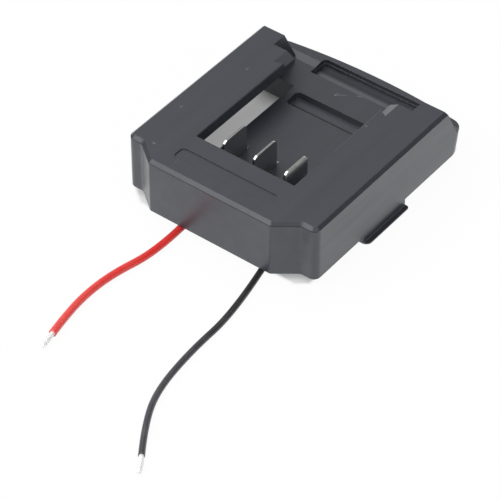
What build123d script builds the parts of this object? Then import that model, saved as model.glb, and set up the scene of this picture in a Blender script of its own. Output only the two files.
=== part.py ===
from build123d import *
import math
import os

# Tool battery adapter: a moulded dock that a slide-on battery is pushed into from the
# rear, with three contact blades behind its bridge and two free leads at its front.
# Millimetres. X runs across the dock, Y from its front wall to the battery mouth, Z up.
# The origin is on the table, under the middle of the dock.

# Housing envelope. A depth is measured back from the front wall, a setback forward from
# the rearmost point, and a height up from the housing's bottom edge.
housing_width = 80.0
housing_length = 95.6
housing_height = 22.7
wall_thickness = 2.4
front_wall_width = 51.4
column_setback = 6.2
column_width = 6.2
column_corner_radius = 2.6
slant_corner_radius = 1.6
slant_hollow_radius = 3.0
top_chamfer = 1.2
rear_arc_radius = 260.0
rear_corner_radius = 5.0
rear_foot_radius = 7.5

# Battery channel
floor_height = 9.0
channel_width = 59.8
bridge_depth = 19.8
rail_end_setback = 20.6
rail_opening = 41.3
rail_thickness = 4.6
rail_edge_radius = 0.4
arm_end_setback = 14.2
arm_foot_setback = 7.3
lead_in_width = 3.35
lead_in_drop = 1.9
lead_in_length = 7.8
lead_in_skew = 1.8

# Floor of the channel
plate_width = 40.6
rear_floor_setback = 21.1
rim_rise = 0.5
rim_bevel_setback = 8.5
rim_flat_setback = 5.2

# Shallow label recess on the bridge, left bare
recess_width = 41.2
recess_length = 6.0
recess_depth = 6.3
recess_sink = 0.3
recess_corner_radius = 1.5

# Clearance pocket in the floor
relief_width = 34.8
relief_length = 7.6
relief_setback = 22.8
relief_sink = 2.8
relief_corner_radius = 1.8

# Stepped latch pocket behind it
latch_width = 43.4
latch_shift = 1.4
latch_length = 8.0
latch_setback = 2.7
latch_sink = 3.0
latch_step_sink = 1.6
latch_step_width = 0.4
latch_corner_radius = 1.8
latch_bevel = 0.7
pocket_wall = 1.6

# Stiffening ribs
rib_thickness = 1.6
plate_rib_height = 3.6
bridge_rib_spacing = 20.0
side_rib_spacing = 23.0
side_rib_count = 3

# Side tabs that the dock stands on
tab_drop = 3.0
tab_root = 5.0
tab_lip_width = 1.9
tab_lip_thickness = 0.5
tab_lip_fillet = 0.5
tab_depth = 33.4
tab_length = 24.4
tab_front_radius = 2.4
tab_rear_radius = 1.0

# Contact blades, placed from the bridge's rear wall
blade_thickness = 0.8
blade_spacing = 13.0
blade_gap = 4.6
blade_length = 12.7
blade_top_height = 20.3
blade_top_radius = 2.0
blade_foot_step = 1.2
blade_foot_rise = 0.3
blade_shoulder = 1.4
blade_shoulder_height = 2.0
blade_tail_reach = 3.6
blade_tail_length = 5.2
blade_tail_height = 0.2
blade_slot_clearance = 0.05

# Retainer bar under the floor, its two posts and its two screws
retainer_side_clearance = 1.2
retainer_length = 9.8
retainer_gap = 1.6
retainer_thickness = 2.8
retainer_grip = 0.8
retainer_end_radius = 3.0
post_width = 5.8
screw_spacing = 13.0
screw_radius = 1.1
screw_bite = 1.5
screw_head_radius = 2.1
screw_head_height = 1.5
screw_clearance = 0.15
screw_recess_width = 0.5
screw_recess_length = 2.2
screw_recess_depth = 0.8

# Leads
red_diameter = 2.7
black_diameter = 2.3
strand_radius = 0.85
red_tip_length = 7.2
black_tip_length = 7.5
core_radius = 0.8
core_length = 5.0
core_gap = 0.1
core_height = 4.4
bared_gap = 0.2
solder_radius = 1.7
solder_length = 4.2
bend_share = 0.45

# Routes of the free leads on the table: X, and Y from the front wall that they leave
red_route = ((-13.0, 0), (-12.4, -14.0), (-17.0, -31.0), (-17.7, -45.0), (-16.0, -57.3), (-14.6, -63.8))
black_route = ((21.5, 0), (26.3, -21.0), (26.2, -43.0), (28.8, -64.0), (35.5, -78.0), (42.4, -87.9))

# Routes inside the dock: level behind the exit, a climb, then straight to the bared end
exit_run = 5.5
red_straight_run = 6.2
black_straight_run = 5.1

# Cuts reach past the surface that they open by the margin, and an edge lies on a plane
# when its middle is within the tolerance
cut_margin = 1.0
edge_tolerance = 0.1
quarter_turn = 90

front_y = -housing_length / 2
rear_y = housing_length / 2
half_width = housing_width / 2
half_channel = channel_width / 2
half_opening = rail_opening / 2
half_plate = plate_width / 2
bridge_y = front_y + bridge_depth
rail_end_y = rear_y - rail_end_setback
rear_floor_y = rear_y - rear_floor_setback

bottom_z = tab_drop
floor_z = bottom_z + floor_height
floor_underside_z = floor_z - wall_thickness
rim_z = floor_z + rim_rise
deck_z = bottom_z + housing_height
under_deck_z = deck_z - wall_thickness
rail_z = deck_z - rail_thickness

blade_front_y = bridge_y + blade_gap
blade_back_y = blade_front_y + blade_length
tail_front_y = blade_front_y - blade_tail_reach
tail_back_y = tail_front_y + blade_tail_length
shoulder_z = floor_underside_z - blade_shoulder_height
retainer_width = plate_width - 2 * (rib_thickness + retainer_side_clearance)
retainer_front_y = tail_back_y + retainer_gap
retainer_y = retainer_front_y + retainer_length / 2
retainer_top_z = shoulder_z + retainer_grip
retainer_z = retainer_top_z - retainer_thickness
bared_y = tail_front_y - bared_gap
core_offset = blade_thickness / 2 + core_gap + core_radius


def block(x_span, y_span, z_span):
    """Box between the given low and high values on each axis."""
    spans = (x_span, y_span, z_span)
    size = [high - low for low, high in spans]
    corner = [low for low, high in spans]
    return Pos(*corner) * Box(*size, align=Align.MIN)


def rod(x, y, radius, z_span):
    """Upright cylinder between the given low and high Z."""
    low, high = z_span
    return Pos(x, y, low) * Cylinder(radius, high - low, align=(Align.CENTER, Align.CENTER, Align.MIN))


def both_sides(shape):
    """The shape and its mirror image across the middle plane."""
    return shape + mirror(shape, about=Plane.YZ)


def side_prism(points, half_length):
    """Prism across the dock from an outline of (y, z) points, centred on the middle plane."""
    outline = Plane.YZ * make_face(Polyline(*points, close=True))
    return extrude(outline, amount=half_length, both=True)


def upright(outline, z_span):
    """Upright prism of a flat outline between the given low and high Z."""
    low, high = z_span
    return Pos(0, 0, low) * extrude(outline, amount=high - low, dir=(0, 0, 1))


def round_corner(outline, x, y, radius):
    """The flat outline with its corner at x, y rounded."""
    return fillet(outline.vertices().sort_by_distance((x, y, 0))[0], radius)


def pocket(width, y_span, radius, z_span, x=0):
    """Upright cutter with rounded corners, centred across the dock unless its x is given."""
    low, high = y_span
    outline = Pos(x, (low + high) / 2) * RectangleRounded(width, high - low, radius)
    return upright(outline, z_span)


def plan_outline(corner_radius):
    """Outline of the housing seen from above: set-back front corners and a bowed rear."""
    front_half = front_wall_width / 2
    column_inner = half_width - column_width
    column_y = front_y + column_setback
    bow = rear_arc_radius - math.sqrt(rear_arc_radius**2 - half_width**2)
    side_end_y = rear_y - bow
    front = Polyline(
        (-half_width, side_end_y),
        (-half_width, column_y),
        (-column_inner, column_y),
        (-front_half, front_y),
        (front_half, front_y),
        (column_inner, column_y),
        (half_width, column_y),
        (half_width, side_end_y),
    )
    bowed_rear = ThreePointArc((half_width, side_end_y), (0, rear_y), (-half_width, side_end_y))
    outline = make_face([*front.edges(), bowed_rear])
    for side in (-1, 1):
        outline = round_corner(outline, side * half_width, side_end_y, corner_radius)
        outline = round_corner(outline, side * half_width, column_y, column_corner_radius)
        outline = round_corner(outline, side * column_inner, column_y, slant_hollow_radius)
        outline = round_corner(outline, side * front_half, front_y, slant_corner_radius)
    return outline


def battery_space(inset):
    """Space that the battery slides into, grown by inset into the moulding."""
    reach = half_channel + inset
    return block(
        (-reach, reach),
        (bridge_y - inset, rear_y + cut_margin),
        (floor_z - inset, deck_z + cut_margin),
    )


def space_behind_arms(inset):
    """Space behind the sloping ends of the two arms, grown by inset."""
    fall = deck_z - floor_z
    run = arm_end_setback - arm_foot_setback
    shift = inset * math.hypot(run, fall) / fall
    top_y = rear_y - arm_end_setback - shift - run * cut_margin / fall
    foot_y = rear_y - arm_foot_setback - shift + run * inset / fall
    outline = (
        (top_y, deck_z + cut_margin),
        (foot_y, floor_z - inset),
        (rear_y + cut_margin, floor_z - inset),
        (rear_y + cut_margin, deck_z + cut_margin),
    )
    return side_prism(outline, half_width + cut_margin)


def plan_body(inset, z_span):
    """Upright body of the plan outline, drawn in by inset, its rear corners rounder at the foot."""
    low, high = z_span
    outline = plan_outline(rear_corner_radius)
    foot = plan_outline(rear_foot_radius)
    if inset:
        outline = offset(outline, amount=-inset, kind=Kind.INTERSECTION)
        foot = offset(foot, amount=-inset, kind=Kind.INTERSECTION)
    return upright(outline, (floor_z, high)) + loft([Pos(0, 0, low) * foot, Pos(0, 0, floor_z) * outline])


def outer_form():
    """Solid outside form of the moulding."""
    form = plan_body(0, (bottom_z, deck_z))
    form = chamfer(form.faces().sort_by(Axis.Z)[-1].edges(), top_chamfer)
    return form - battery_space(0) - space_behind_arms(0)


def inner_hollow():
    """Hollow that is cored out from below, one wall inside the outside form."""
    form = plan_body(wall_thickness, (bottom_z - cut_margin, under_deck_z))
    return form - battery_space(wall_thickness) - space_behind_arms(wall_thickness)


def rails():
    """The two rails that overhang the channel, with the battery's lead-in at their ends."""
    outer_x = half_opening + lead_in_width
    start_y = rail_end_y - lead_in_length
    rail = block(
        (half_opening, half_channel + wall_thickness),
        (bridge_y - wall_thickness, rail_end_y),
        (rail_z, deck_z),
    )
    slope = Polyline(
        (half_opening, deck_z - lead_in_drop), (outer_x, deck_z), (half_opening, deck_z), close=True
    )
    slope = extrude(Plane.XZ * make_face(slope), amount=housing_length, both=True)
    mouth = Polyline(
        (half_opening, start_y + lead_in_skew),
        (outer_x, start_y),
        (outer_x, rail_end_y),
        (half_opening, rail_end_y),
        close=True,
    )
    lead_in = slope & upright(make_face(mouth), (rail_z, deck_z))
    return both_sides(rail - lead_in)


def round_opening(shape):
    """The moulding with the upper edges of its rails and bridge rounded."""
    def borders_opening(edge):
        middle = edge.center()
        on_deck = math.isclose(middle.Z, deck_z, abs_tol=edge_tolerance)
        beside = math.isclose(abs(middle.X), half_opening, abs_tol=edge_tolerance)
        on_bridge = math.isclose(middle.Y, bridge_y, abs_tol=edge_tolerance) and abs(middle.X) < half_opening
        return on_deck and (on_bridge or (beside and middle.Y < rail_end_y - lead_in_length))

    edges = shape.edges().filter_by(GeomType.LINE).filter_by(borders_opening)
    return fillet(edges, rail_edge_radius)


def rear_rim():
    """Low rim along the rear edge of the floor, with its bevel."""
    bevel_y = rear_y - rim_bevel_setback
    outline = (
        (bevel_y, floor_z),
        (rear_y - rim_flat_setback, rim_z),
        (rear_y, rim_z),
        (rear_y, floor_underside_z),
        (bevel_y, floor_underside_z),
    )
    return side_prism(outline, half_width) & plan_body(0, (bottom_z, deck_z))


def rear_cross_wall():
    """Wall across the dock under the front edge of the rear floor."""
    half = half_width - wall_thickness
    return block((-half, half), (rear_floor_y, rear_floor_y + wall_thickness), (bottom_z, floor_z))


def plate_gaps():
    """Open gaps between the middle plate of the floor and the channel's sides."""
    gap = block(
        (half_plate, half_channel),
        (bridge_y, rear_floor_y),
        (bottom_z - cut_margin, floor_z + cut_margin),
    )
    return both_sides(gap)


def plate_ribs():
    """Ribs under the two long edges of the floor plate."""
    rib = block(
        (half_plate - rib_thickness, half_plate),
        (bridge_y - wall_thickness, rear_floor_y),
        (floor_underside_z - plate_rib_height, floor_underside_z),
    )
    return both_sides(rib)


def bridge_ribs():
    """Three ribs from the front wall to the bridge's rear wall, under the deck."""
    rib = block(
        (-rib_thickness / 2, rib_thickness / 2),
        (front_y + wall_thickness, bridge_y - wall_thickness),
        (floor_underside_z, under_deck_z),
    )
    return rib + both_sides(Pos(bridge_rib_spacing, 0, 0) * rib)


def side_ribs():
    """Ribs between the side walls and the channel's sides."""
    middle_y = (bridge_y + rear_floor_y) / 2
    ribs = None
    for index in range(side_rib_count):
        y = middle_y + (index - (side_rib_count - 1) / 2) * side_rib_spacing
        rib = block(
            (half_channel + wall_thickness, half_width - wall_thickness),
            (y - rib_thickness / 2, y + rib_thickness / 2),
            (floor_underside_z, under_deck_z),
        )
        ribs = rib if ribs is None else ribs + rib
    return both_sides(ribs)


def relief_span():
    """Low and high Y of the clearance pocket."""
    high = rear_y - relief_setback
    return high - relief_length, high


def latch_span():
    """Low and high Y of the latch pocket."""
    high = rear_y - latch_setback
    return high - latch_length, high


def pocket_tubs():
    """Walls and bottoms round the two pockets, on the underside of the floor."""
    relief_low, relief_high = relief_span()
    relief_half = relief_width / 2 + pocket_wall
    relief_tub = block(
        (-relief_half, relief_half),
        (relief_low - pocket_wall, rear_floor_y),
        (floor_z - relief_sink - pocket_wall, floor_underside_z),
    )
    latch_low, latch_high = latch_span()
    latch_half = latch_width / 2 + pocket_wall
    latch_tub = block(
        (latch_shift - latch_half, latch_shift + latch_half),
        (latch_low - pocket_wall, rear_y - wall_thickness),
        (rim_z - latch_sink - pocket_wall, floor_underside_z),
    )
    return relief_tub + latch_tub


def relief_pocket():
    """Cutter for the clearance pocket."""
    z_span = (floor_z - relief_sink, floor_z + cut_margin)
    return pocket(relief_width, relief_span(), relief_corner_radius, z_span)


def latch_pocket():
    """Cutter for the stepped latch pocket, with the bevel along its front edge."""
    low, high = latch_span()
    upper = pocket(
        latch_width,
        (low, high),
        latch_corner_radius,
        (rim_z - latch_step_sink, rim_z + cut_margin),
        latch_shift,
    )
    lower = pocket(
        latch_width - 2 * latch_step_width,
        (low, high - latch_step_width),
        latch_corner_radius - latch_step_width,
        (rim_z - latch_sink, rim_z),
        latch_shift,
    )
    bevel = (
        (low - latch_bevel - cut_margin, floor_z + cut_margin),
        (low + cut_margin, floor_z - latch_bevel - cut_margin),
        (low + cut_margin, floor_z + cut_margin),
    )
    return upper + lower + Pos(latch_shift, 0, 0) * side_prism(bevel, latch_width / 2)


def bridge_recess():
    """Cutter for the shallow recess on top of the bridge."""
    low = front_y + recess_depth
    span = (low, low + recess_length)
    return pocket(recess_width, span, recess_corner_radius, (deck_z - recess_sink, deck_z + cut_margin))


def side_tabs():
    """Two tabs that drop from the side walls, each with a thin lip along its foot."""
    inner_x = half_width - wall_thickness
    lip_x = half_width + tab_lip_width
    top_z = bottom_z + tab_root
    section = Polyline(
        (inner_x, top_z),
        (half_width, top_z),
        (half_width, tab_lip_thickness),
        (lip_x, tab_lip_thickness),
        (lip_x, 0),
        (inner_x, 0),
        close=True,
    )
    section = round_corner(make_face(section), half_width, tab_lip_thickness, tab_lip_fillet)
    solid = extrude(Plane.XZ * section, amount=housing_length, both=True)
    low = front_y + tab_depth
    high = low + tab_length
    plan = make_face(Polyline((inner_x, low), (lip_x, low), (lip_x, high), (inner_x, high), close=True))
    plan = round_corner(plan, lip_x, low, tab_front_radius)
    plan = round_corner(plan, lip_x, high, tab_rear_radius)
    return both_sides(solid & upright(plan, (0, top_z)))


def screw_rods(radius, z_span):
    """An upright rod at each of the two screws."""
    return both_sides(rod(screw_spacing / 2, retainer_y, radius, z_span))


def screw_posts():
    """Two square posts under the floor that the retainer is screwed up against."""
    half = post_width / 2
    x = screw_spacing / 2
    x_span = (x - half, x + half)
    y_span = (retainer_y - half, retainer_y + half)
    return both_sides(block(x_span, y_span, (retainer_top_z, floor_underside_z)))


def blade_positions():
    """X of the three blades, left to right."""
    return -blade_spacing, 0, blade_spacing


def blade_cuts(y_span, z_span):
    """Slots for the three blades."""
    half = blade_thickness / 2 + blade_slot_clearance
    left, middle, right = [block((x - half, x + half), y_span, z_span) for x in blade_positions()]
    return left + middle + right


def housing():
    """The one-piece moulded dock."""
    shape = outer_form() - inner_hollow() + rails()
    shape = round_opening(shape)
    shape = shape + rear_rim() + rear_cross_wall() + pocket_tubs() + side_tabs()
    shape = shape + plate_ribs() + bridge_ribs() + side_ribs()
    shape = shape - plate_gaps() - relief_pocket() - latch_pocket() - bridge_recess()
    shape = shape + screw_posts()
    shape = shape - screw_rods(screw_radius, (retainer_top_z, floor_underside_z + screw_bite))
    slot_span = (
        blade_front_y - blade_slot_clearance,
        blade_back_y + blade_foot_step + blade_slot_clearance,
    )
    return shape - blade_cuts(slot_span, (floor_underside_z - cut_margin, floor_z + cut_margin))


def blade(x):
    """Stamped contact blade with a stepped foot, shoulders under the floor and a solder tail."""
    top_z = bottom_z + blade_top_height
    foot_y = blade_back_y + blade_foot_step
    foot_z = floor_z + blade_foot_rise
    tail_z = bottom_z + blade_tail_height
    outline = make_face(
        Polyline(
            (blade_front_y, floor_underside_z),
            (blade_front_y, top_z),
            (blade_back_y, top_z),
            (blade_back_y, foot_z),
            (foot_y, foot_z),
            (foot_y, floor_underside_z),
            (foot_y + blade_shoulder, floor_underside_z),
            (foot_y + blade_shoulder, shoulder_z),
            (tail_back_y, shoulder_z),
            (tail_back_y, tail_z),
            (tail_front_y, tail_z),
            (tail_front_y, shoulder_z),
            (blade_front_y - blade_shoulder, shoulder_z),
            (blade_front_y - blade_shoulder, floor_underside_z),
            close=True,
        )
    )
    outline = round_corner(outline, blade_front_y, top_z, blade_top_radius)
    outline = round_corner(outline, blade_back_y, top_z, blade_top_radius)
    return Pos(x, 0, 0) * extrude(Plane.YZ * outline, amount=blade_thickness / 2, both=True)


def blade_retainer():
    """Bar screwed under the floor, with a groove that grips each blade's lower edge."""
    back_y = retainer_front_y + retainer_length
    bar = pocket(
        retainer_width, (retainer_front_y, back_y), retainer_end_radius, (retainer_z, retainer_top_z)
    )
    bar -= blade_cuts((retainer_front_y - cut_margin, back_y + cut_margin), (shoulder_z, retainer_top_z))
    return bar - screw_rods(screw_radius + screw_clearance, (retainer_z, retainer_top_z))


def retainer_screws():
    """Two self-tapping screws with a cross recess."""
    head_z = retainer_z - screw_head_height
    head = rod(0, 0, screw_head_radius, (head_z, retainer_z))
    shank = rod(0, 0, screw_radius, (retainer_z, floor_underside_z + screw_bite))
    bar = Box(screw_recess_length, screw_recess_width, 2 * screw_recess_depth)
    cross = bar + Rot(0, 0, quarter_turn) * bar
    screw = head + shank - Pos(0, 0, head_z) * cross
    return [Pos(x, retainer_y, 0) * screw for x in (-screw_spacing / 2, screw_spacing / 2)]


def tube(points, diameter, label):
    """Round lead along straight runs joined by the largest tangent arcs that fit."""
    runs = [math.dist(a, b) for a, b in zip(points, points[1:])]
    radii = []
    for index in range(1, len(points) - 1):
        before = Vector(*points[index]) - Vector(*points[index - 1])
        after = Vector(*points[index + 1]) - Vector(*points[index])
        half_turn = math.radians(before.get_angle(after)) / 2
        radii.append(bend_share * min(runs[index - 1], runs[index]) / math.tan(half_turn))
    path = FilletPolyline(*points, radius=radii)
    start = Plane(origin=points[0], z_dir=Vector(*points[1]) - Vector(*points[0]))
    solid = sweep(start * Circle(diameter / 2), path=path)
    section = math.pi * (diameter / 2) ** 2
    share = solid.volume / (section * path.length)
    print(f"{label}: length {path.length:.2f}, radii {[round(r) for r in radii]}, volume share {share:.4f}")
    return solid


def table_points(route, diameter):
    """Points of a free lead's route, one lead radius above the table."""
    return [(x, front_y + y, diameter / 2) for x, y in route]


def inner_points(route, diameter, straight_run, core_x):
    """Points of a lead's route inside the dock, from its exit up to the blade's tail."""
    exit_point, next_point = [Vector(*point) for point in table_points(route, diameter)[:2]]
    level = exit_point + (exit_point - next_point).normalized() * exit_run
    return [
        tuple(exit_point),
        tuple(level),
        (core_x, bared_y - straight_run, core_height),
        (core_x, bared_y, core_height),
    ]


def tip(route, diameter, length):
    """Tinned bare strands at the free end of a lead."""
    before, end = [Vector(*point) for point in table_points(route, diameter)[-2:]]
    strands = Cylinder(strand_radius, length, align=(Align.CENTER, Align.CENTER, Align.MIN))
    return Plane(origin=end, z_dir=end - before) * strands


def core(x):
    """Bared strands beside a blade's tail."""
    strands = Cylinder(core_radius, core_length, align=(Align.CENTER, Align.CENTER, Align.MIN))
    return Plane(origin=(x, bared_y, core_height), z_dir=(0, 1, 0)) * strands


def solder_joint(blade_x, core_x):
    """Bead of solder between a blade's tail and the bared strands."""
    half = solder_length / 2
    middle_y = bared_y + core_length / 2
    middle = Plane(origin=(core_x, middle_y, core_height), z_dir=(0, 1, 0))
    bead = middle * Cylinder(solder_radius, solder_length)
    away = math.copysign(1, core_x - blade_x)
    near_x = blade_x + away * blade_thickness / 2
    far_x = near_x + away * solder_length
    beside_blade = block(
        sorted((near_x, far_x)),
        (middle_y - half, middle_y + half),
        (core_height - solder_length, core_height + solder_length),
    )
    return (bead & beside_blade) - core(core_x)


def lead(name, route, diameter, tip_length, straight_run, blade_x, side):
    """All pieces of one lead, by node name, with its bared end on the given side of its blade."""
    core_x = blade_x + side * core_offset
    return {
        f"{name}_lead": tube(table_points(route, diameter), diameter, f"{name}_lead"),
        f"{name}_lead_inner": tube(
            inner_points(route, diameter, straight_run, core_x), diameter, f"{name}_lead_inner"
        ),
        f"{name}_tip": tip(route, diameter, tip_length),
        f"{name}_core": core(core_x),
        f"{name}_solder": solder_joint(blade_x, core_x),
    }


def main():
    """Build every piece and write one file for each."""
    left_x, middle_x, right_x = blade_positions()
    parts = {
        "housing": housing(),
        "positive_blade": blade(left_x),
        "signal_blade": blade(middle_x),
        "negative_blade": blade(right_x),
        "blade_retainer": blade_retainer(),
        "retainer_screws": Compound(children=retainer_screws()),
    }
    parts |= lead("red", red_route, red_diameter, red_tip_length, red_straight_run, left_x, -1)
    parts |= lead("black", black_route, black_diameter, black_tip_length, black_straight_run, right_x, 1)
    os.makedirs("parts", exist_ok=True)
    for name, shape in parts.items():
        export_step(shape, f"parts/{name}.step")


main()
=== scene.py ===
"""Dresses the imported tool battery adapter: studio, moulded dock, contacts, clamp and leads.

Lengths are in metres. The housing stands on its tabs at height 0, its front wall faces -Y, and
the battery slides in from +Y.
"""

import logging
import math
from collections.abc import Mapping
from dataclasses import dataclass
from enum import Enum
from typing import Any

import bmesh
import bpy
from mathutils import Matrix, Vector

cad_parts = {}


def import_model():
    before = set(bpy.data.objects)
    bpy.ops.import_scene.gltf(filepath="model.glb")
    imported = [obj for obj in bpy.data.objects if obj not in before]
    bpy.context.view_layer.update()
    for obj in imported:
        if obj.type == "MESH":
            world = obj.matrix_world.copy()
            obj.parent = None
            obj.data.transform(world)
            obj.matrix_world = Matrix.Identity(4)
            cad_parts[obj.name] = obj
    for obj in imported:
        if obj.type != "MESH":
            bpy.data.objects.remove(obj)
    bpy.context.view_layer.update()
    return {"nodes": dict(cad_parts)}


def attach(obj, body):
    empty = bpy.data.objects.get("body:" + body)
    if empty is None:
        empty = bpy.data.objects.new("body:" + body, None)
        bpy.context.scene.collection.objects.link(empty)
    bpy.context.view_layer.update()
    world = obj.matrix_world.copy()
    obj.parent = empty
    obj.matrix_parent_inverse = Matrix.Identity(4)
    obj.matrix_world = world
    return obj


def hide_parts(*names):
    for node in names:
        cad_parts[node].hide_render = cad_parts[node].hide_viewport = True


LOG = logging.getLogger("scene")
MM = 0.001

MIX_SHARE, MIX_FIRST, MIX_SECOND, MIX_RESULT = 0, 6, 7, 2
BEVEL_SAMPLES = 6
NOISE_MEAN = 0.5
PLASTIC_IOR = 1.5

Colour = tuple[float, float, float]
Point = tuple[float, float, float]
Pair = tuple[float, float]

BLACK: Colour = (0.0, 0.0, 0.0)
WHITE: Colour = (1.0, 1.0, 1.0)


class Signal:
    """A shader socket whose sums, differences and products add Math nodes."""

    def __init__(self, graph: "Graph", socket: bpy.types.NodeSocket) -> None:
        """Wraps one output socket of a node in the graph."""
        self.graph = graph
        self.socket = socket

    def _math(self, operation: str, first: "Signal | float", second: "Signal | float") -> "Signal":
        """Adds one Math node on two values or signals."""
        return self.graph.add("ShaderNodeMath", {"operation": operation}, {0: first, 1: second})

    def __add__(self, other: "Signal | float") -> "Signal":
        """The sum with a number or signal."""
        return self._math("ADD", self, other)

    def __radd__(self, other: float) -> "Signal":
        """The sum with a number on the left."""
        return self._math("ADD", other, self)

    def __sub__(self, other: "Signal | float") -> "Signal":
        """The difference from a number or signal."""
        return self._math("SUBTRACT", self, other)

    def __rsub__(self, other: float) -> "Signal":
        """A number less this signal."""
        return self._math("SUBTRACT", other, self)

    def __mul__(self, other: "Signal | float") -> "Signal":
        """The product with a number or signal."""
        return self._math("MULTIPLY", self, other)

    def __rmul__(self, other: float) -> "Signal":
        """The product with a number on the left."""
        return self._math("MULTIPLY", other, self)

    def __abs__(self) -> "Signal":
        """The signal without its sign."""
        return self._math("ABSOLUTE", self, 0.0)

    def top(self, other: "Signal | float") -> "Signal":
        """The larger of this signal and another."""
        return self._math("MAXIMUM", self, other)

    def ramp(self, low: float, high: float) -> "Signal":
        """Goes smoothly from 0 at low to 1 at high.

        Args:
            low: Value at which the result is 0.
            high: Value at which the result is 1.

        Returns:
            The eased signal, held between 0 and 1.
        """
        settings = {"interpolation_type": "SMOOTHSTEP"}
        inputs = {"Value": self, "From Min": low, "From Max": high, "To Min": 0.0, "To Max": 1.0}
        return self.graph.add("ShaderNodeMapRange", settings, inputs)


class Graph:
    """A node tree with one way to add any node."""

    def __init__(self, tree: bpy.types.NodeTree) -> None:
        """Empties the tree and starts a new one in it."""
        tree.nodes.clear()
        self.tree = tree

    def node(
        self, kind: str, settings: Mapping[str, Any], inputs: Mapping[int | str, Any]
    ) -> bpy.types.Node:
        """Adds a node, sets it and feeds its sockets.

        Args:
            kind: Blender's name of the node's type.
            settings: The node's own properties.
            inputs: A number, colour, vector or Signal for each named or numbered socket.

        Returns:
            The new node.
        """
        node = self.tree.nodes.new(kind)
        for name, value in settings.items():
            setattr(node, name, value)
        for key, value in inputs.items():
            if isinstance(value, Signal):
                self.tree.links.new(value.socket, node.inputs[key])
            else:
                node.inputs[key].default_value = value
        return node

    def add(
        self,
        kind: str,
        settings: Mapping[str, Any],
        inputs: Mapping[int | str, Any],
        output: int | str = 0,
    ) -> Signal:
        """Adds a node and returns one of its outputs.

        Args:
            kind: Blender's name of the node's type.
            settings: The node's own properties.
            inputs: A value or Signal for each socket.
            output: Name or number of the output that is wanted.

        Returns:
            The output as a Signal.
        """
        return Signal(self, self.node(kind, settings, inputs).outputs[output])

    def mix(self, share: Any, first: Any, second: Any) -> Signal:
        """Blends two colours by a share from 0 to 1."""
        inputs = {MIX_SHARE: share, MIX_FIRST: first, MIX_SECOND: second}
        return self.add("ShaderNodeMix", {"data_type": "RGBA"}, inputs, MIX_RESULT)

    def vector(self, operation: str, first: Any, second: Any, output: int | str = 0) -> Signal:
        """Adds one Vector Math node on two vectors."""
        settings = {"operation": operation}
        return self.add("ShaderNodeVectorMath", settings, {0: first, 1: second}, output)


def opaque(colour: Colour) -> tuple[float, float, float, float]:
    """The colour with full alpha."""
    return (*colour, 1.0)


class Axis(Enum):
    """Direction that a finish's brush marks or streaks run in."""

    X = (0.05, 1.0, 1.0)
    Y = (1.0, 0.05, 1.0)
    Z = (1.0, 1.0, 0.05)


@dataclass(frozen=True)
class Spots:
    """Peaks of a noise from low upwards, which show as spots, hairs, patches or stains."""

    size: float
    low: float
    high: float
    strength: float = 1.0
    detail: float = 2.0
    stretch: Axis | None = None


@dataclass(frozen=True)
class Finish:
    """What every finish shares: a named material around one main shader."""

    name: str

    def material(self) -> bpy.types.Material:
        """Makes the material, or returns it if it was made before.

        Returns:
            The finished material.
        """
        name = f"{self.name}_finish"
        made = bpy.data.materials.get(name)
        if made:
            return made
        made = bpy.data.materials.new(name)
        made.use_nodes = True
        graph = Graph(made.node_tree)
        shader = self.shader(graph)
        output = graph.node("ShaderNodeOutputMaterial", {}, {})
        made.node_tree.links.new(shader.socket, output.inputs["Surface"])
        return made

    def shader(self, graph: Graph) -> Signal:
        """Builds the main shader; each finish has its own."""
        raise NotImplementedError

    def place(self, graph: Graph) -> Signal:
        """Position on the piece, in metres."""
        return graph.add("ShaderNodeTexCoord", {}, {}, "Object")

    def noise(
        self, graph: Graph, size: float, detail: float = 2.0, stretch: Axis | None = None
    ) -> Signal:
        """Noise over the piece.

        Args:
            graph: Tree to add to.
            size: Width of one patch, in metres.
            detail: Number of finer layers.
            stretch: Direction in which the patches are drawn out, if any.

        Returns:
            The noise, from 0 to 1.
        """
        place = self.place(graph)
        if stretch:
            place = graph.vector("MULTIPLY", place, stretch.value)
        inputs = {"Vector": place, "Scale": 1 / size, "Detail": detail}
        return graph.add("ShaderNodeTexNoise", {}, inputs)

    def spots(self, graph: Graph, form: Spots) -> Signal:
        """Strength of the spots over the piece."""
        noise = self.noise(graph, form.size, form.detail, form.stretch)
        return noise.ramp(form.low, form.high) * form.strength

    def rounded(self, graph: Graph, radius: float) -> Signal:
        """Normal with the edges softened over a radius in metres."""
        return graph.add("ShaderNodeBevel", {"samples": BEVEL_SAMPLES}, {"Radius": radius})

    def edges(self, graph: Graph, radius: float) -> Signal:
        """How near a sharp edge is, from 0 on a flat face upwards."""
        normal = graph.add("ShaderNodeNewGeometry", {}, {}, "Normal")
        return 1 - graph.vector("DOT_PRODUCT", self.rounded(graph, radius), normal, "Value")

    def bump(
        self, graph: Graph, height: Signal, strength: float, depth: float, radius: float = 0.0
    ) -> Signal:
        """Bump, over softened edges if a radius is given.

        Args:
            graph: Tree to add to.
            height: Height of the relief, from 0 to 1.
            strength: Share of the relief that is used.
            depth: Full depth of the relief in metres.
            radius: Radius of the softened edges in metres, or 0 to leave them as they are.

        Returns:
            The normal.
        """
        inputs = {"Strength": strength, "Distance": depth, "Height": height}
        if radius:
            inputs["Normal"] = self.rounded(graph, radius)
        return graph.add("ShaderNodeBump", {}, inputs)


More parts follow.
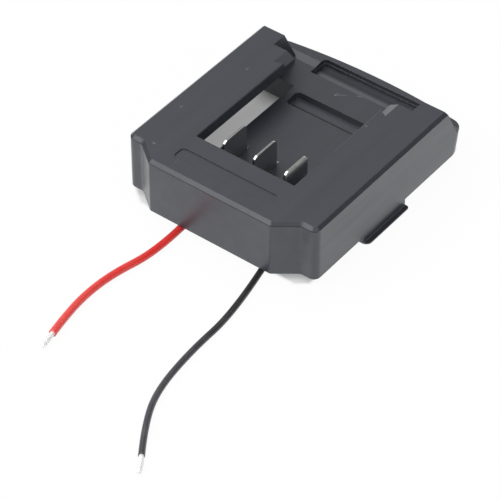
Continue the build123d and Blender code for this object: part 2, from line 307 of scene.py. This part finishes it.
@dataclass(frozen=True)
class Mark:
    """Line on a piece: a pale rub, scratch or speck, a painted highlight, painted light, or a dark
    line of painted shade.
    """

    start: Point
    end: Point
    half_width: float
    strength: float

    def signal(self, graph: Graph, place: Signal) -> Signal:
        """Builds the mark's strength over the piece.

        Args:
            graph: Tree to add to.
            place: Position on the piece, in metres.

        Returns:
            The strength on the line, which fades out over twice the half width.
        """
        line = Vector(self.end) - Vector(self.start)
        along = tuple(line.normalized())
        offset = graph.vector("SUBTRACT", place, self.start)
        travel = graph.vector("DOT_PRODUCT", offset, along, "Value")
        travel = graph.add("ShaderNodeClamp", {}, {0: travel, 1: 0.0, 2: line.length})
        away = graph.vector("DISTANCE", offset, graph.vector("MULTIPLY", travel, along), "Value")
        return (1 - away.ramp(0.0, 2 * self.half_width)) * self.strength


@dataclass(frozen=True)
class ShadedSeam:
    """Painted shade along the mould's parting line, a fine groove round the front at one height.
    """

    height: float
    front: float
    half_width: float
    # How dark the painted shade is
    depth: float
    end_fade: float = 0.0005

    def signal(self, graph: Graph, place: Signal) -> Signal:
        """Builds the seam's painted shade over the piece.

        Args:
            graph: Tree to add to.
            place: Position on the piece, in metres.

        Returns:
            The painted shade in the groove, which ends behind the front.
        """
        parts = graph.node("ShaderNodeSeparateXYZ", {}, {0: place})
        away = abs(Signal(graph, parts.outputs["Z"]) - self.height)
        near = 1 - Signal(graph, parts.outputs["Y"]).ramp(self.front, self.front + self.end_fade)
        return (1 - away.ramp(0.0, 2 * self.half_width)) * near * self.depth


@dataclass(frozen=True)
class MouldedPlastic(Finish):
    """Satin moulded plastic with grain, flow marks, smudges, scuffs and scratches, pale edges that
    are partly rubbing and partly painted highlight, painted highlights and painted shade lines in
    the pockets, and a seam drawn as painted shade.
    """

    colour: Colour
    # Pale colour for scratches and rubbing, and for the painted highlights on the edges and in the
    # pockets
    worn_and_highlit: Colour
    roughness: float = 0.42
    polish: float = 0.6
    grain: float = 0.00035
    edge: float = 0.0002
    scuffs: float = 0.5
    marks: tuple[Mark, ...] = ()
    # Lines of painted shade
    shade_lines: tuple[Mark, ...] = ()
    seam_shades: tuple[ShadedSeam, ...] = ()
    flow: float = 0.016
    flow_share: float = 0.7
    flow_shade: float = 0.66
    smudge: float = 0.0045
    edge_rubs_and_glints: Spots = Spots(0.0009, 0.42, 0.72, 0.62)
    rub_reach: float = 1.6
    rub_onset: Pair = (0.012, 0.14)
    hairs: Spots = Spots(0.0006, 0.66, 0.74, 0.35, stretch=Axis.Y)
    hair_patches: Spots = Spots(0.009, 0.55, 0.7)
    specks: Spots = Spots(0.0008, 0.76, 0.82, 0.5, 1.0)
    stains: Spots = Spots(0.004, 0.75, 0.9, 0.2)
    flow_roughness: float = 0.12
    grain_roughness: float = 0.1
    sheen: Colour = (0.92, 0.95, 1.0)
    coat: float = 0.65
    coat_smudge: float = 0.7
    coat_roughness: float = 0.3
    relief: float = 0.25
    relief_depth: float = 0.00002

    def shader(self, graph: Graph) -> Signal:
        """Builds the plastic's shader.

        Args:
            graph: Tree to add to.

        Returns:
            The shader.
        """
        flow = self.noise(graph, self.flow, detail=4.0)
        smudge = self.noise(graph, self.smudge, detail=3.0, stretch=Axis.Y)
        grain = self.noise(graph, self.grain, detail=3.0)
        # Darkening from real stains and from painted shade in the pockets, the recess and the seam
        unstained_unshaded = 1 - self.stains_and_shade(graph)
        roughness = self.roughness + (flow - NOISE_MEAN) * self.flow_roughness
        inputs = {
            "Base Color": graph.mix(unstained_unshaded, opaque(BLACK), self.tint(graph, flow)),
            "Roughness": roughness + (grain - NOISE_MEAN) * self.grain_roughness,
            "IOR": PLASTIC_IOR,
            "Specular Tint": opaque(self.sheen),
            "Coat Weight": (self.coat + smudge * self.coat_smudge) * unstained_unshaded * self.polish,
            "Coat Roughness": self.coat_roughness,
            "Normal": self.bump(graph, grain, self.relief, self.relief_depth, self.edge),
        }
        return graph.add("ShaderNodeBsdfPrincipled", {}, inputs)

    def tint(self, graph: Graph, flow: Signal) -> Signal:
        """Builds the plastic's colour, paler where it is scuffed or scratched, along the edges
        where rubbing and painted highlight lie, and where highlights are painted in the pockets.

        Args:
            graph: Tree to add to.
            flow: Cloudy flow marks, from 0 to 1.

        Returns:
            The colour over the whole piece.
        """
        place = self.place(graph)
        edges = self.edges(graph, self.edge * self.rub_reach).ramp(*self.rub_onset)
        hairs = self.spots(graph, self.hairs) * self.spots(graph, self.hair_patches)
        scuffs = (hairs + self.spots(graph, self.specks)) * self.scuffs
        # Pale edges: partly rubbing, partly a painted highlight along every sharp edge, broken
        # into glints by the spots
        wear_and_highlights = (edges * self.spots(graph, self.edge_rubs_and_glints)).top(scuffs)
        # Marks: real scratches and specks, and painted highlights and painted light in the pockets
        for mark in self.marks:
            wear_and_highlights = wear_and_highlights.top(mark.signal(graph, place))
        mottle = self.noise(graph, self.grain * 2, detail=1.0)
        clouds = flow * self.flow_share + mottle * (1 - self.flow_share)
        dark = tuple(self.flow_shade * part for part in self.colour)
        base = graph.mix(clouds, opaque(self.colour), opaque(dark))
        return graph.mix(wear_and_highlights, base, opaque(self.worn_and_highlit))

    def stains_and_shade(self, graph: Graph) -> Signal:
        """Builds the darkening, from the real stains and from painted shade: the lines in the
        pockets and along the recess, and the seam.

        Args:
            graph: Tree to add to.

        Returns:
            How dark the stains and the painted shade lie, from 0 where there is neither to 1.
        """
        place = self.place(graph)
        stains_and_shade = self.spots(graph, self.stains)
        # Painted shade along the pocket and recess lines and along the seam
        for line in (*self.shade_lines, *self.seam_shades):
            stains_and_shade = stains_and_shade.top(line.signal(graph, place))
        return stains_and_shade


@dataclass(frozen=True)
class PlatedMetal(Finish):
    """Plated sheet metal with brush marks, dull patches and bright cut edges."""

    colour: Colour
    dull: Colour
    roughness: float = 0.28
    brushed: Axis = Axis.Y
    edge: float = 0.00012
    metallic: float = 1.0
    relief: float = 0.2
    relief_depth: float = 0.000012
    brush: float = 0.00025
    stains: Spots = Spots(0.004, 0.5, 0.75, 0.55, 4.0)
    stain_roughness: float = 0.25
    rub_onset: Pair = (0.02, 0.3)

    def shader(self, graph: Graph) -> Signal:
        """Builds the metal's shader.

        Args:
            graph: Tree to add to.

        Returns:
            The shader.
        """
        brush = self.noise(graph, self.brush, detail=3.0, stretch=self.brushed)
        stain = self.spots(graph, self.stains)
        rub = self.edges(graph, self.edge).ramp(*self.rub_onset)
        roughness = self.roughness + (brush - NOISE_MEAN) * self.relief
        inputs = {
            "Base Color": graph.mix(stain * (1 - rub), opaque(self.colour), opaque(self.dull)),
            "Metallic": self.metallic,
            "Roughness": roughness + stain * self.stain_roughness,
            "Normal": self.bump(graph, brush, self.relief, self.relief_depth, self.edge),
        }
        return graph.add("ShaderNodeBsdfPrincipled", {}, inputs)


@dataclass(frozen=True)
class Insulation(Finish):
    """Soft lead insulation with a faint skin relief, handling marks, and painted light that makes
    it paler towards the free end.
    """

    colour: Colour
    faded_and_lit: Colour
    roughness: float = 0.26
    # Painted light grows from none at the near end to full at the far end
    near_end: float = -0.055
    far_end: float = -0.115
    skin: float = 0.0006
    patches: Spots = Spots(0.007, 0.4, 0.8, 1.0, 3.0)
    patch_fade: float = 0.25
    patch_roughness: float = 0.12
    painted_light_share: float = 0.6
    relief: float = 0.12
    relief_depth: float = 0.00003

    def shader(self, graph: Graph) -> Signal:
        """Builds the insulation's shader, paler in fading patches and, as painted light, towards
        the free end.

        Args:
            graph: Tree to add to.

        Returns:
            The shader.
        """
        skin = self.noise(graph, self.skin, detail=3.0)
        patches = self.spots(graph, self.patches)
        along = graph.add("ShaderNodeSeparateXYZ", {}, {0: self.place(graph)}, "Y")
        # Painted light: paler towards the free end, darker by the dock
        painted_light = 1 - along.ramp(self.far_end, self.near_end)
        faded_and_lit = patches * self.patch_fade + painted_light * self.painted_light_share
        inputs = {
            "Base Color": graph.mix(faded_and_lit, opaque(self.colour), opaque(self.faded_and_lit)),
            "Roughness": self.roughness + (patches - NOISE_MEAN) * self.patch_roughness,
            "IOR": PLASTIC_IOR,
            "Normal": self.bump(graph, skin, self.relief, self.relief_depth),
        }
        return graph.add("ShaderNodeBsdfPrincipled", {}, inputs)


@dataclass(frozen=True)
class Solder(Finish):
    """Bright tin, smooth where it flowed and grey where it froze last."""

    colour: Colour
    grey: Colour
    roughness: float = 0.25
    frost: float = 0.0012
    frost_tint: Pair = (0.4, 0.7)
    frost_onset: Pair = (0.35, 0.75)
    frost_roughness: float = 0.25
    edge: float = 0.0001
    relief: float = 0.4
    relief_depth: float = 0.00006

    def shader(self, graph: Graph) -> Signal:
        """Builds the tin's shader.

        Args:
            graph: Tree to add to.

        Returns:
            The shader.
        """
        frost = self.noise(graph, self.frost, detail=4.0)
        grey = frost.ramp(*self.frost_tint)
        inputs = {
            "Base Color": graph.mix(grey, opaque(self.colour), opaque(self.grey)),
            "Metallic": 1.0,
            "Roughness": self.roughness + frost.ramp(*self.frost_onset) * self.frost_roughness,
            "Normal": self.bump(graph, frost, self.relief, self.relief_depth, self.edge),
        }
        return graph.add("ShaderNodeBsdfPrincipled", {}, inputs)


@dataclass(frozen=True)
class StudioFloor(Finish):
    """Table that is white to the eye and in reflections, and dim in the dock's own shade but for a
    painted glow under the dock's front that fades out towards the rear.

    The shade's outline has straight sides, a bowed rear edge and slanted front corners.
    """

    left: float
    right: float
    front: float
    rear: float
    bow: float = 0.52
    corner: float = 0.0536
    corner_slope: Pair = (0.608, 0.794)
    fade: float = 0.0025
    glow: float = 0.95
    # Painted glow in the dock's shade, strongest at the front
    painted_glow: float = 0.285
    painted_glow_front: float = 0.02
    painted_glow_rear: float = 0.034
    grey: Colour = (0.86, 0.86, 0.86)

    def shader(self, graph: Graph) -> Signal:
        """Builds the table's shader.

        Args:
            graph: Tree to add to.

        Returns:
            The shader.
        """
        place = graph.node("ShaderNodeSeparateXYZ", {}, {0: self.place(graph)})
        across = Signal(graph, place.outputs["X"])
        along = Signal(graph, place.outputs["Y"])
        sides = (across - self.right).top(self.left - across)
        bowed = along + across * across * (1 / self.bow)
        ends = (self.front - along).top(bowed - self.rear)
        slope_x, slope_y = self.corner_slope
        corners = abs(across) * slope_x - along * slope_y - self.corner
        outside = sides.top(ends).top(corners)
        # Painted glow on the table in the dock's shade, fading out from front to rear
        painted_glow = (1 - along.ramp(self.painted_glow_front, self.painted_glow_rear)) * self.painted_glow
        white = (outside.ramp(0.0, self.fade) * self.glow).top(painted_glow)
        ray = graph.node("ShaderNodeLightPath", {}, {})
        seen = Signal(graph, ray.outputs["Is Camera Ray"])
        for kind in ("Is Glossy Ray", "Is Transmission Ray"):
            seen = seen.top(Signal(graph, ray.outputs[kind]))
        glow = graph.add("ShaderNodeEmission", {}, {"Color": opaque(WHITE), "Strength": 1.0})
        matt = graph.add("ShaderNodeBsdfDiffuse", {}, {"Color": opaque(self.grey)})
        return graph.add("ShaderNodeMixShader", {}, {0: seen * white, 1: matt, 2: glow})


# Pale lines: real scratches and specks, and painted highlights and painted light in the pockets
WEAR_AND_HIGHLIGHTS = (
    # Painted highlight along the latch pocket's near edge, and painted light on its floor
    Mark((-0.0195, 0.0371, 0.0120), (0.0220, 0.0371, 0.0120), 0.0003, 0.45),
    Mark((-0.0185, 0.0397, 0.0090), (0.0210, 0.0397, 0.0090), 0.0009, 0.42),
    # The nick and scratches on the rear floor
    Mark((-0.0056, 0.0314, 0.012), (-0.0056, 0.0314, 0.012), 0.00035, 0.9),
    Mark((-0.0056, 0.0314, 0.012), (-0.0053, 0.0327, 0.012), 0.00022, 0.4),
    Mark((-0.0056, 0.0314, 0.012), (-0.0025, 0.0335, 0.012), 0.00018, 0.45),
    Mark((0.0007, 0.0356, 0.012), (0.0037, 0.0369, 0.012), 0.00022, 0.5),
    # The dots on the rails, and one on the floor by the positive blade
    Mark((0.0219, 0.0112, 0.0257), (0.0219, 0.0112, 0.0257), 0.0003, 0.8),
    Mark((-0.0302, -0.0398, 0.0257), (-0.0294, -0.0398, 0.0257), 0.0003, 0.5),
    Mark((-0.0290, 0.0280, 0.0257), (-0.0285, 0.0287, 0.0257), 0.0003, 0.6),
    Mark((-0.0289, 0.0103, 0.0257), (-0.0289, 0.0110, 0.0257), 0.0003, 0.4),
    Mark((-0.0344, -0.0195, 0.0257), (-0.0344, -0.0190, 0.0257), 0.0003, 0.4),
    Mark((-0.0131, -0.0096, 0.012), (-0.0131, -0.0096, 0.012), 0.0004, 0.9),
    # Painted light on the relief pocket's floor
    Mark((-0.0150, 0.0225, 0.0092), (0.0150, 0.0225, 0.0092), 0.0022, 0.13),
)
# Dark lines of painted shade in the pockets and along the recess on the bridge
PAINTED_SHADE_LINES = (
    # Painted shade in the latch pocket and the relief pocket
    Mark((-0.0190, 0.0421, 0.0090), (0.0215, 0.0421, 0.0090), 0.0008, 0.5),
    Mark((-0.0162, 0.0205, 0.0092), (0.0162, 0.0205, 0.0092), 0.0003, 0.95),
    # Painted shade along the edge of the recess on the bridge
    Mark((-0.0191, -0.0355, 0.0255), (0.0191, -0.0355, 0.0255), 0.0002, 0.85),
    Mark((-0.0206, -0.0400, 0.0255), (-0.0206, -0.0370, 0.0255), 0.0002, 0.85),
    Mark((-0.0206, -0.0370, 0.0255), (-0.0202, -0.0359, 0.0255), 0.0002, 0.85),
    Mark((-0.0202, -0.0359, 0.0255), (-0.0191, -0.0355, 0.0255), 0.0002, 0.85),
)
# Painted shade along the parting line just under the front chamfer
FRONT_SEAM_SHADE = ShadedSeam(height=0.02435, front=-0.0405, half_width=0.00017, depth=0.95)
BLACK_SATIN = MouldedPlastic(
    "housing_plastic",
    (0.036, 0.0395, 0.051),
    (0.2, 0.205, 0.225),
    polish=0.56,
    marks=WEAR_AND_HIGHLIGHTS,
    shade_lines=PAINTED_SHADE_LINES,
    seam_shades=(FRONT_SEAM_SHADE,),
)
BLACK_MATT = MouldedPlastic(
    "retainer_plastic",
    (0.028, 0.028, 0.031),
    (0.1, 0.1, 0.11),
    roughness=0.55,
    polish=0.0,
    grain=0.0005,
    edge=0.00025,
    scuffs=0.2,
)
TIN_PLATE = PlatedMetal(
    "blade_metal",
    (0.74, 0.74, 0.72),
    (0.5, 0.49, 0.46),
    roughness=0.14,
    brushed=Axis.Z,
    relief=0.04,
)
ZINC_PLATE = PlatedMetal(
    "screw_steel", (0.66, 0.66, 0.63), (0.38, 0.37, 0.34), roughness=0.32, brushed=Axis.X
)
# The second colour is the paler tone for fading patches and for the painted light towards the free
# end
RED_SKIN = Insulation("red_insulation", (0.7, 0.032, 0.027), (0.9, 0.115, 0.1))
BLACK_SKIN = Insulation("black_insulation", (0.022, 0.022, 0.025), (0.09, 0.09, 0.1))
TINNED_WIRE = PlatedMetal(
    "tinned_strands",
    (0.95, 0.95, 0.94),
    (0.86, 0.86, 0.84),
    roughness=0.42,
    edge=0.00003,
    metallic=0.25,
    relief=0.03,
)
BRIGHT_SOLDER = Solder("solder", (0.8, 0.8, 0.79), (0.5, 0.5, 0.5))


def dress(piece: bpy.types.Object, finish: Finish) -> None:
    """Gives every material slot of a piece the same finish.

    Args:
        piece: The piece, which gets a slot if it has none.
        finish: The finish to give it.
    """
    if not piece.material_slots:
        piece.data.materials.append(finish.material())
    for slot in piece.material_slots:
        slot.material = finish.material()


def new_mesh(name: str, form: bmesh.types.BMesh, smooth_angle: float = 40.0) -> bpy.types.Object:
    """Turns a bmesh into a scene object with smooth faces and sharp edges.

    Args:
        name: Name of the piece.
        form: The finished bmesh, which is freed.
        smooth_angle: Edges sharper than this, in degrees, stay sharp.

    Returns:
        The new object.
    """
    bmesh.ops.recalc_face_normals(form, faces=form.faces)
    limit = math.radians(smooth_angle)
    for face in form.faces:
        face.smooth = True
    for edge in form.edges:
        edge.smooth = edge.is_manifold and edge.calc_face_angle(0.0) < limit
    mesh = bpy.data.meshes.new(name)
    form.to_mesh(mesh)
    form.free()
    piece = bpy.data.objects.new(name, mesh)
    bpy.context.scene.collection.objects.link(piece)
    return piece


def stitch(form: bmesh.types.BMesh, rings: list[list[bmesh.types.BMVert]]) -> None:
    """Joins each ring of corners to the next one with quads.

    Args:
        form: The bmesh that holds the rings.
        rings: Rings with the same number of corners.
    """
    for low, high in zip(rings, rings[1:]):
        for corner in range(len(low)):
            after = (corner + 1) % len(low)
            form.faces.new((low[corner], low[after], high[after], high[corner]))


@dataclass
class Sweep:
    """Round section carried along a line of points without twisting."""

    points: list[Vector]
    radii: list[float]
    sides: int = 10

    def add_to(self, form: bmesh.types.BMesh) -> None:
        """Adds the closed tube to a bmesh.

        Args:
            form: The bmesh to add to.
        """
        rings = []
        across = (self.points[1] - self.points[0]).orthogonal().normalized()
        for index, point in enumerate(self.points):
            before = self.points[max(index - 1, 0)]
            after = self.points[min(index + 1, len(self.points) - 1)]
            along = (after - before).normalized()
            across = (across - along * across.dot(along)).normalized()
            third = along.cross(across)
            ring = []
            for side in range(self.sides):
                angle = 2 * math.pi * side / self.sides
                offset = across * math.cos(angle) + third * math.sin(angle)
                ring.append(form.verts.new(point + offset * self.radii[index]))
            rings.append(ring)
        stitch(form, rings)
        form.faces.new(list(reversed(rings[0])))
        form.faces.new(rings[-1])


@dataclass
class Strands:
    """Twisted tinned wires with a soldered heart."""

    line: list[Vector]
    radius: float
    wires: int = 11
    wire_radius: float = 0.00022
    lay: float = 0.019
    steps: int = 40
    wire_sides: int = 8
    heart_sides: int = 16
    heart_share: float = 0.97
    taper_start: float = 0.92
    taper_loss: float = 0.8
    smooth_angle: float = 60.0

    def _lengths(self) -> list[float]:
        """Length of each stretch of the line."""
        return [(after - before).length for before, after in zip(self.line, self.line[1:])]

    def _at(self, share: float) -> tuple[Vector, Vector]:
        """Finds a place on the line.

        Args:
            share: Share of the line's length that lies before the place.

        Returns:
            The point, and the line's direction there.
        """
        lengths = self._lengths()
        left = share * sum(lengths)
        for start, end, length in zip(self.line, self.line[1:], lengths):
            if left <= length or end is self.line[-1]:
                along = (end - start).normalized()
                return start + along * left, along
            left -= length
        return self.line[-1], (self.line[-1] - self.line[-2]).normalized()

    def _taper(self, share: float) -> float:
        """Finds how far the strands close in towards the cut end.

        Args:
            share: Share of the line's length that lies before the place.

        Returns:
            The share of the full radius.
        """
        past = max(0.0, (share - self.taper_start) / (1 - self.taper_start))
        return math.sqrt(1.0 - self.taper_loss * past**2)

    def build(self, name: str) -> bpy.types.Object:
        """Makes the strands as one mesh.

        Args:
            name: Name of the piece.

        Returns:
            The new object.
        """
        form = bmesh.new()
        total = sum(self._lengths())
        shares = [step / self.steps for step in range(self.steps + 1)]
        frames = [self._at(share) for share in shares]
        sizes = [self._taper(share) for share in shares]
        heart = [point for point, _ in frames]
        radii = [self.radius * self.heart_share * size for size in sizes]
        Sweep(heart, radii, self.heart_sides).add_to(form)
        up = Vector((0.0, 0.0, 1.0))
        for wire in range(self.wires):
            path = []
            for (point, along), share, size in zip(frames, shares, sizes):
                angle = 2 * math.pi * (wire / self.wires + share * total / self.lay)
                side = along.cross(up).normalized()
                offset = side * math.cos(angle) + side.cross(along) * math.sin(angle)
                path.append(point + offset * (self.radius - self.wire_radius) * size)
            Sweep(path, [self.wire_radius] * len(path), self.wire_sides).add_to(form)
        return new_mesh(name, form, self.smooth_angle)


@dataclass
class Lead:
    """One lead: the free cord on the table, its tinned end, and its soldered end in the dock.

    The lip's profile is its radius and reach, and its waves are their size, number and turn. All
    but the number and turn are shares of the lead's diameter.
    """

    name: str
    route: list[Point]
    diameter: float
    length: float
    tip_length: float
    skin: Insulation
    kink: float = 0.0
    kink_share: float = 0.55
    strand_radius: float = 0.0009
    strand_start: float = -0.001
    lip_sides: int = 32
    lip_profile: tuple[Pair, ...] = (
        (0.5, -0.1),
        (0.5, 0.12),
        (0.47, 0.2),
        (0.36, 0.16),
        (0.33, -0.1),
    )
    lip_waves: tuple[tuple[float, int, float], ...] = ((0.06, 1, 0.7), (0.02, 5, 0.0))

    def build(self, nodes: Mapping[str, bpy.types.Object]) -> None:
        """Builds and dresses the whole lead.

        Args:
            nodes: The frame's CAD objects by name.
        """
        cord = self.cord()
        tip = self.tip(cord)
        cut = self.cut_ring(cord)
        dress(nodes[f"{self.name}_lead_inner"], self.skin)
        dress(nodes[f"{self.name}_core"], TINNED_WIRE)
        dress(nodes[f"{self.name}_solder"], BRIGHT_SOLDER)
        LOG.info("%s lead: %.1f mm long", self.name, self.length / MM)

    def cord(self) -> bpy.types.Object:
        """Makes the insulated cord along its route.

        Returns:
            The cord, a curve of one spline.
        """
        curve = bpy.data.curves.new(f"{self.name}_cord", "CURVE")
        curve.dimensions = "3D"
        curve.resolution_u = 24
        curve.bevel_depth = 1.0
        curve.bevel_resolution = 6
        curve.use_fill_caps = True
        spline = curve.splines.new("NURBS")
        spline.points.add(len(self.route) - 1)
        for point, place in zip(spline.points, self.route):
            point.co = (*place, 1.0)
            point.radius = self.diameter / 2
        spline.order_u = 3
        spline.use_endpoint_u = True
        cord = bpy.data.objects.new(f"{self.name}_cord", curve)
        bpy.context.scene.collection.objects.link(cord)
        self.attach(cord, f"{self.name}_lead", self.skin)
        return cord

    def line(self, cord: bpy.types.Object) -> list[Vector]:
        """Reads points along the middle of the cord from its spline.

        Args:
            cord: The cord.

        Returns:
            The points, from the dock to the free end.
        """
        curve = cord.data
        depth, curve.bevel_depth = curve.bevel_depth, 0.0
        bpy.context.view_layer.update()
        evaluated = cord.evaluated_get(bpy.context.evaluated_depsgraph_get())
        mesh = bpy.data.meshes.new_from_object(evaluated)
        points = [vertex.co.copy() for vertex in mesh.vertices]
        bpy.data.meshes.remove(mesh)
        curve.bevel_depth = depth
        return points

    def tip(self, cord: bpy.types.Object) -> bpy.types.Object:
        """Makes the twisted and tinned end that stands out of the insulation.

        Args:
            cord: The cord that it goes on from.

        Returns:
            The tip.
        """
        points = self.line(cord)
        start = points[-1]
        along = (points[-1] - points[-2]).normalized()
        bend = Matrix.Rotation(self.kink, 3, "Z")
        middle = start + along * self.tip_length * self.kink_share
        end = middle + bend @ along * self.tip_length * (1 - self.kink_share)
        line = [start + along * self.strand_start, start, middle, end]
        tip = Strands(line, self.strand_radius).build(f"{self.name}_strands")
        self.attach(tip, f"{self.name}_tip", TINNED_WIRE)
        return tip

    def cut_ring(self, cord: bpy.types.Object) -> bpy.types.Object:
        """Makes the uneven lip left where the insulation was cut back.

        Args:
            cord: The cord whose end it sits on.

        Returns:
            The lip.
        """
        points = self.line(cord)
        end = points[-1]
        along = (points[-1] - points[-2]).normalized()
        side = along.orthogonal().normalized()
        third = along.cross(side)
        form = bmesh.new()
        rings = []
        for radius, reach in self.lip_profile:
            ring = []
            for step in range(self.lip_sides):
                angle = 2 * math.pi * step / self.lip_sides
                ragged = self._ragged(angle) if reach > 0 else 0.0
                across = side * math.cos(angle) + third * math.sin(angle)
                offset = across * radius + along * (reach + ragged)
                ring.append(form.verts.new(end + offset * self.diameter))
            rings.append(ring)
        stitch(form, rings + rings[:1])
        lip = new_mesh(f"{self.name}_cut", form)
        dress(lip, self.skin)
        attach(lip, "root")
        return lip

    def _ragged(self, angle: float) -> float:
        """How far the lip stands out at an angle, as a share of the diameter."""
        return sum(size * math.sin(count * angle + turn) for size, count, turn in self.lip_waves)

    def attach(self, piece: bpy.types.Object, node: str, finish: Finish) -> None:
        """Finishes a piece, and puts it in the place of a CAD node.

        Args:
            piece: The piece.
            node: Name of the CAD node that it replaces.
            finish: The finish to give it.
        """
        dress(piece, finish)
        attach(piece, "root")
        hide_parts(node)


@dataclass
class Dock:
    """The moulded housing."""

    finish: MouldedPlastic

    def build(self, nodes: Mapping[str, bpy.types.Object]) -> None:
        """Dresses the housing.

        Args:
            nodes: The frame's CAD objects by name.
        """
        dress(nodes["housing"], self.finish)
        LOG.info("housing dressed")


@dataclass
class Contacts:
    """The three blades, and the bar and screws that hold them."""

    blades: tuple[str, ...] = ("positive_blade", "signal_blade", "negative_blade")

    def build(self, nodes: Mapping[str, bpy.types.Object]) -> None:
        """Dresses the blades, the bar and its screws.

        Args:
            nodes: The frame's CAD objects by name.
        """
        for name in self.blades:
            dress(nodes[name], TIN_PLATE)
        dress(nodes["blade_retainer"], BLACK_MATT)
        dress(nodes["retainer_screws"], ZINC_PLATE)
        LOG.info("blades, bar and screws dressed")


@dataclass(frozen=True)
class Patch:
    """Soft round patch of the surroundings, brighter or darker than the rest.

    The inner and outer angles are in degrees from its middle.
    """

    toward: Point
    inner: float
    outer: float
    strength: float

    def signal(self, graph: Graph, direction: Signal) -> Signal:
        """Builds what the patch adds in a direction.

        Args:
            graph: The world's node tree.
            direction: Direction that is looked in.

        Returns:
            The strength to add, which fades from the inner to the outer angle.
        """
        middle = tuple(Vector(self.toward).normalized())
        facing = graph.vector("DOT_PRODUCT", direction, middle, "Value")
        edge = math.cos(math.radians(self.outer))
        return facing.ramp(edge, math.cos(math.radians(self.inner))) * self.strength


@dataclass
class Studio:
    """Camera, table and surroundings, which are the only light."""

    camera_place: Point = (0.4132, -0.5617, 0.6186)
    camera_aim: Point = (0.01145, -0.04015, 0.0)
    lens: float = 192.59
    sensor: float = 36.0
    table_half: float = 3.0
    table_gap: float = 0.00002
    floor: StudioFloor = StudioFloor(
        "table_white", left=-0.0385, right=0.0355, front=-0.0425, rear=0.0462
    )
    surroundings: float = 0.3
    horizon: float = 0.56
    horizon_fade: Pair = (0.1, 0.45)
    darkest: float = 0.02
    patches: tuple[Patch, ...] = (
        # Bright on the left: the front chamfer's sheen and soft light on the top
        Patch((-0.443, -0.663, 0.602), 10.0, 34.0, 2.2),
        Patch((-0.45, 0.12, 0.885), 6.0, 27.0, 2.6),
        Patch((-0.66, 0.58, 0.46), 5.0, 28.0, 0.06),
        # Bright overhead, and dark at the front right for the right slant's chamfer
        Patch((0.10, -0.20, 0.975), 8.0, 36.0, 1.5),
        Patch((0.42, -0.55, 0.72), 8.0, 24.0, -0.4),
        # Dark low on the left, for the left slant's chamfer
        Patch((-0.976, -0.115, 0.187), 10.0, 26.0, -0.75),
        # Bright behind for the streak along the leads, and on the right for the wall
        Patch((0.24, 0.68, 0.70), 2.0, 9.0, 2.2),
        Patch((0.85, -0.30, 0.42), 10.0, 30.0, 1.1),
        # Dark at the rear, for the right chamfer and the top on the right
        Patch((0.663, 0.602, 0.443), 12.0, 34.0, -0.5),
        Patch((0.185, 0.602, 0.777), 8.0, 26.0, -0.2),
    )

    def build(self) -> None:
        """Sets up the camera, the table and the surroundings."""
        self.camera()
        self.table()
        self.sky()
        bpy.context.scene.view_settings.view_transform = "Standard"
        LOG.info("studio: camera, table and %d patches of light", len(self.patches))

    def camera(self) -> None:
        """Puts the camera at the photograph's viewpoint."""
        lens = bpy.data.cameras.new("camera")
        lens.lens = self.lens
        lens.sensor_width = self.sensor
        lens.clip_end = 20.0
        holder = bpy.data.objects.new("camera", lens)
        holder.location = self.camera_place
        aim = Vector(self.camera_aim) - Vector(self.camera_place)
        holder.rotation_euler = aim.to_track_quat("-Z", "Y").to_euler()
        bpy.context.scene.collection.objects.link(holder)
        bpy.context.scene.camera = holder

    def table(self) -> None:
        """Makes the table that the object lies on."""
        form = bmesh.new()
        under = Matrix.Translation((0.0, 0.0, -self.table_gap))
        bmesh.ops.create_grid(form, x_segments=2, y_segments=2, size=self.table_half, matrix=under)
        table = new_mesh("table", form)
        dress(table, self.floor)

    def sky(self) -> None:
        """Makes the pale surroundings, white to the eye, with bright and dark patches."""
        world = bpy.data.worlds.new("surroundings")
        world.use_nodes = True
        bpy.context.scene.world = world
        graph = Graph(world.node_tree)
        direction = graph.add("ShaderNodeTexCoord", {}, {}, "Generated")
        height = graph.add("ShaderNodeSeparateXYZ", {}, {0: direction}, "Z")
        strength = (1 - height.ramp(*self.horizon_fade)) * self.horizon + self.surroundings
        for patch in self.patches:
            strength = strength + patch.signal(graph, direction)
        ray = graph.node("ShaderNodeLightPath", {}, {})
        seen = Signal(graph, ray.outputs["Is Camera Ray"])
        inputs = {"Color": opaque(WHITE), "Strength": strength.top(self.darkest)}
        shade = graph.add("ShaderNodeBackground", {}, inputs)
        white = graph.add("ShaderNodeBackground", {}, {"Color": opaque(WHITE), "Strength": 1.0})
        mixed = graph.add("ShaderNodeMixShader", {}, {0: seen, 1: shade, 2: white})
        output = graph.node("ShaderNodeOutputWorld", {}, {})
        world.node_tree.links.new(mixed.socket, output.inputs["Surface"])


RED_ROUTE = [
    (-0.0130, -0.0478, 0.00135),
    (-0.0124, -0.0618, 0.00135),
    (-0.0170, -0.0788, 0.00135),
    (-0.0177, -0.0928, 0.00135),
    (-0.0160, -0.1051, 0.00135),
    (-0.0146, -0.1116, 0.00135),
]
BLACK_ROUTE = [
    (0.0215, -0.0478, 0.00115),
    (0.0263, -0.0688, 0.00115),
    (0.0262, -0.0908, 0.00115),
    (0.0288, -0.1118, 0.00115),
    (0.0355, -0.1258, 0.00115),
    (0.0424, -0.1357, 0.00115),
]
RED_LEAD = Lead("red", RED_ROUTE, diameter=0.0027, length=0.0645, tip_length=0.0072, skin=RED_SKIN)
BLACK_LEAD = Lead(
    "black",
    BLACK_ROUTE,
    diameter=0.0023,
    length=0.0920,
    tip_length=0.0075,
    skin=BLACK_SKIN,
    kink=math.radians(-7),
)


def main() -> None:
    """Builds the studio and every piece, in order."""
    logging.basicConfig(level=logging.INFO, format="%(message)s")
    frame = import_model()
    nodes = frame["nodes"]
    Studio().build()
    RED_LEAD.build(nodes)
    BLACK_LEAD.build(nodes)
    Dock(BLACK_SATIN).build(nodes)
    Contacts().build(nodes)
    bpy.context.view_layer.update()


if __name__ == "__main__":
    main()
